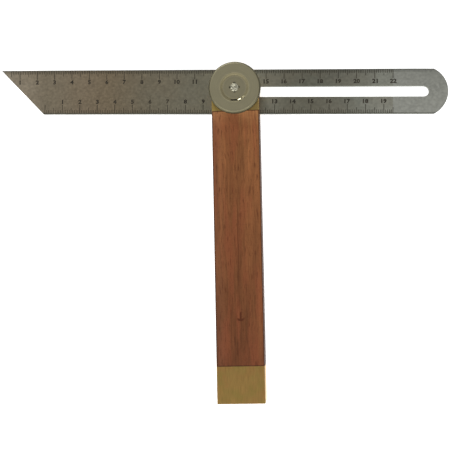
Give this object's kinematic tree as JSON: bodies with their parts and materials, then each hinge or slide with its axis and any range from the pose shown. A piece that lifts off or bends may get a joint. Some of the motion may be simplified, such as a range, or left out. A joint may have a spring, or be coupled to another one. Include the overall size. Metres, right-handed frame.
{
  "type": "sliding bevel gauge",
  "caption": "Sliding bevel: a slotted, graduated steel blade clamped by a round wheel in a hardwood stock with brass head plates and a brass butt cap.",
  "frame": {"origin": "where the clamp screw's axis meets the back face of the stock, on the back head plate", "axes": "+Z out of the front face, where the clamp wheel is; +Y along the stock towards its rounded head; +X across the stock, towards the blade's rounded end"},
  "size_m": [0.2502, 0.1887, 0.0205],
  "materials": {
    "hardwood": "oiled, straight-grained reddish brown hardwood",
    "brass": "brushed and slightly dulled",
    "brass_screws": "turned heads with driver slots",
    "wheel_steel": "satin, with a warm nickel tint",
    "screw_steel": "turned, with a bright riveted end",
    "blade_steel": "fine satin, with an engraved and darkened scale"
  },
  "bodies": {
    "stock": {"stock_wood": "hardwood", "head_plate_front": "brass", "head_plate_back": "brass", "front_plate_screws": "brass_screws", "back_plate_screws": "brass_screws", "clamp_nut": "screw_steel", "butt_cap": "brass", "butt_cap_screws": "brass_screws"},
    "washer": {"thrust_washer": "wheel_steel"},
    "clamp": {"clamp_wheel": "wheel_steel", "clamp_screw": "screw_steel"},
    "friction_washers": {"friction_washer_front": "brass", "friction_washer_back": "brass"},
    "blade": {"blade": "blade_steel"}
  },
  "joints": [
    {"name": "washer_lift", "type": "slide", "parent": "stock", "child": "washer", "axis": [0, 0, 1], "range_m": [0, 0.0006]},
    {"name": "clamp_turn", "type": "hinge", "parent": "washer", "child": "clamp", "pos_m": [0, 0, 0], "axis": [0, 0, 1], "range_deg": [0, 270]},
    {"name": "blade_swing", "type": "hinge", "parent": "stock", "child": "friction_washers", "pos_m": [0, 0, 0], "axis": [0, 0, 1], "range_deg": [-88, 77]},
    {"name": "blade_slide", "type": "slide", "parent": "friction_washers", "child": "blade", "axis": [-0.9994, 0.0349, 0], "range_m": [-0.0027, 0.1033]}
  ],
  "couplings": [
    {"joint": "clamp_turn", "follows": "washer_lift", "rad_per_m": 7854}
  ]
}
